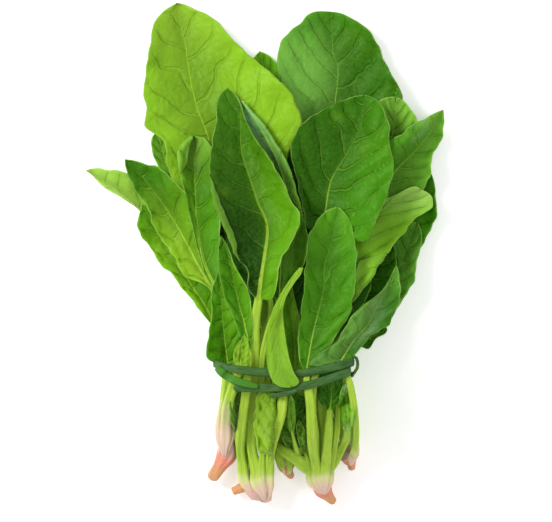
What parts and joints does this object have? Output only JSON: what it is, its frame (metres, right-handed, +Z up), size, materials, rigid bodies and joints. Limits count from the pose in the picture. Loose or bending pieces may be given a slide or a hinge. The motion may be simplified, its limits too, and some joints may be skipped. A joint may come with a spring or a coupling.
{
  "type": "spinach bunch",
  "caption": "Bunch of fresh leaf spinach on its crowns and taproot stubs, tied round the stalks with a flat green tie and lying on its back.",
  "frame": {"origin": "on the surface the bunch lies on, under the middle of its bounding box", "axes": "+Y from the crowns toward the leaf tips, +X to the right seen from above with the leaf tips up, +Z up out of the surface"},
  "size_m": [0.2084, 0.2913, 0.0618],
  "materials": {
    "leaf": "satin, veined fresh leaf",
    "young_leaf": "satin, crinkled young leaf",
    "crown": "matt, pink to orange crown and root",
    "tie": "matt, flat dark green tie"
  },
  "bodies": {
    "root": {"crown_front_left": "crown", "crown_front_right": "crown", "crown_left": "crown", "crown_middle": "crown", "crown_right": "crown", "leaf_back_left": "leaf", "leaf_back_right": "leaf", "leaf_front_bit": "leaf", "leaf_front_dark": "leaf", "leaf_front_fold": "leaf", "leaf_front_narrow": "leaf", "leaf_front_oval": "leaf", "leaf_front_strip": "leaf", "leaf_left_channel": "leaf", "leaf_left_far": "leaf", "leaf_left_lobed": "leaf", "leaf_left_low": "leaf", "leaf_left_point": "leaf", "leaf_left_small": "leaf", "leaf_middle_right": "leaf", "leaf_over_tie": "leaf", "leaf_right_bit": "leaf", "leaf_right_curled": "leaf", "leaf_right_far": "leaf", "leaf_right_inner": "leaf", "leaf_right_point": "leaf", "leaf_right_ribbed": "leaf", "leaf_right_rolled": "leaf", "leaf_right_small": "leaf", "leaf_top_small": "leaf", "leaf_under_1": "leaf", "leaf_under_10": "leaf", "leaf_under_11": "leaf", "leaf_under_2": "leaf", "leaf_under_3": "leaf", "leaf_under_4": "leaf", "leaf_under_5": "leaf", "leaf_under_6": "leaf", "leaf_under_7": "leaf", "leaf_under_8": "leaf", "leaf_under_9": "leaf", "tie": "tie", "young_leaf_edge": "young_leaf", "young_leaf_front": "young_leaf", "young_leaf_left": "young_leaf", "young_leaf_middle": "young_leaf", "young_leaf_right": "young_leaf", "young_leaf_side": "young_leaf"}
  },
  "joints": []
}
